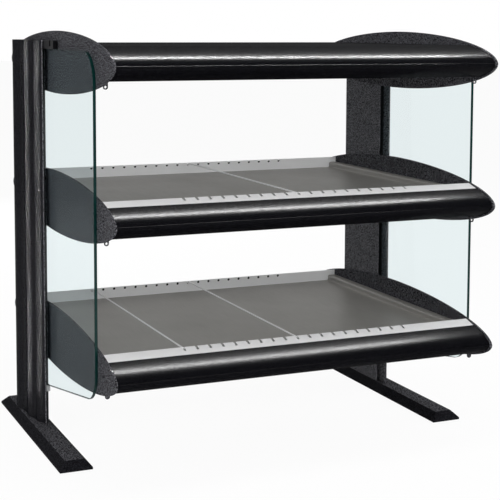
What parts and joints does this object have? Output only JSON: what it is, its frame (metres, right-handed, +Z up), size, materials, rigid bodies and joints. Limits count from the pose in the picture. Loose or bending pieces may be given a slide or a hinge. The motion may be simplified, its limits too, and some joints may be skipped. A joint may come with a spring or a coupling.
{
  "type": "heated merchandiser",
  "caption": "Countertop heated food merchandiser with stacked heated shelves under a canopy, oval end caps, fluted side uprights and clear side panels, open at front and back.",
  "frame": {"origin": "on the counter, under the middle of the end caps", "axes": "+X to the customer's right, +Y to the operator's side at the back, +Z up"},
  "size_m": [0.868, 0.756, 0.82],
  "materials": {
    "black_coat": "black powder coat with a fine sparkle",
    "upright_coat": "aluminium extrusion with a black powder coat, fine sparkle",
    "rail_black": "aluminium extrusion, semi-gloss black",
    "cover_black": "steel sheet, semi-gloss black",
    "clear_glass": "clear tempered, polished edges",
    "tray_grey": "satin, dark grey",
    "bright_aluminium": "bright satin",
    "reflector": "bright reflector sheet",
    "element_steel": "dull sheath",
    "lamp_glass": "clear tube with ceramic ends",
    "black_plastic": "semi-gloss",
    "grey_plastic": "matt",
    "rubber": "matt",
    "guard_steel": "satin",
    "blanket": "matt silicone"
  },
  "bodies": {
    "frame": {"left_foot": "black_coat", "right_foot": "black_coat", "left_foot_pad": "rubber", "right_foot_pad": "rubber", "left_upright": "upright_coat", "right_upright": "upright_coat", "left_upright_plug": "black_plastic", "right_upright_plug": "black_plastic", "left_glass": "clear_glass", "right_glass": "clear_glass", "left_gasket": "rubber", "right_gasket": "rubber", "left_glass_rest": "grey_plastic", "right_glass_rest": "grey_plastic", "left_glass_retainer": "black_plastic", "right_glass_retainer": "black_plastic", "canopy_left_cap": "black_coat", "canopy_right_cap": "black_coat", "mid_left_cap": "black_coat", "mid_right_cap": "black_coat", "low_left_cap": "black_coat", "low_right_cap": "black_coat", "canopy_front_rail": "rail_black", "canopy_rear_rail": "rail_black", "mid_front_rail": "rail_black", "mid_rear_rail": "rail_black", "low_front_rail": "rail_black", "low_rear_rail": "rail_black", "canopy_top_cover": "cover_black", "canopy_heat_pan": "reflector", "canopy_heating_element": "element_steel", "canopy_lamp": "lamp_glass", "canopy_element_guard": "guard_steel", "mid_tray": "tray_grey", "mid_heat_blanket": "blanket", "mid_slotted_lip": "bright_aluminium", "mid_back_strip": "bright_aluminium", "mid_heat_pan": "reflector", "mid_heating_element": "element_steel", "mid_lamp": "lamp_glass", "mid_element_guard": "guard_steel", "low_tray": "tray_grey", "low_heat_blanket": "blanket", "low_slotted_lip": "bright_aluminium", "low_back_strip": "bright_aluminium", "low_base_plate": "tray_grey", "canopy_control_box": "black_plastic", "mid_control_box": "black_plastic", "low_control_box": "black_plastic", "cord_gland": "black_plastic"},
    "mid_divider": {"mid_divider": "bright_aluminium"},
    "low_divider_left": {"low_divider_left": "bright_aluminium"},
    "low_divider_middle": {"low_divider_middle": "bright_aluminium"},
    "canopy_rocker": {"canopy_rocker": "black_plastic"},
    "mid_rocker": {"mid_rocker": "black_plastic"},
    "low_rocker": {"low_rocker": "black_plastic"},
    "canopy_knob": {"canopy_knob": "black_plastic"},
    "mid_knob": {"mid_knob": "black_plastic"},
    "low_knob": {"low_knob": "black_plastic"}
  },
  "joints": [
    {"name": "mid_divider_lift", "type": "hinge", "parent": "frame", "child": "mid_divider", "pos_m": [0, 0.29075, 0.515], "axis": [-1, 0, 0], "range_deg": [0, 18]},
    {"name": "low_divider_left_lift", "type": "hinge", "parent": "frame", "child": "low_divider_left", "pos_m": [-0.2286, 0.29075, 0.24], "axis": [-1, 0, 0], "range_deg": [0, 18]},
    {"name": "low_divider_middle_lift", "type": "hinge", "parent": "frame", "child": "low_divider_middle", "pos_m": [0, 0.29075, 0.24], "axis": [-1, 0, 0], "range_deg": [0, 18]},
    {"name": "canopy_rocker_tilt", "type": "hinge", "parent": "frame", "child": "canopy_rocker", "pos_m": [-0.29, 0.348, 0.759], "axis": [1, 0, 0], "range_deg": [0, 20]},
    {"name": "mid_rocker_tilt", "type": "hinge", "parent": "frame", "child": "mid_rocker", "pos_m": [-0.29, 0.348, 0.484], "axis": [1, 0, 0], "range_deg": [0, 20]},
    {"name": "low_rocker_tilt", "type": "hinge", "parent": "frame", "child": "low_rocker", "pos_m": [-0.29, 0.348, 0.209], "axis": [1, 0, 0], "range_deg": [0, 20]},
    {"name": "canopy_knob_turn", "type": "hinge", "parent": "frame", "child": "canopy_knob", "pos_m": [-0.235, 0.352, 0.759], "axis": [0, 1, 0], "range_deg": [0, 270]},
    {"name": "mid_knob_turn", "type": "hinge", "parent": "frame", "child": "mid_knob", "pos_m": [-0.235, 0.352, 0.484], "axis": [0, 1, 0], "range_deg": [0, 270]},
    {"name": "low_knob_turn", "type": "hinge", "parent": "frame", "child": "low_knob", "pos_m": [-0.235, 0.352, 0.209], "axis": [0, 1, 0], "range_deg": [0, 270]}
  ]
}
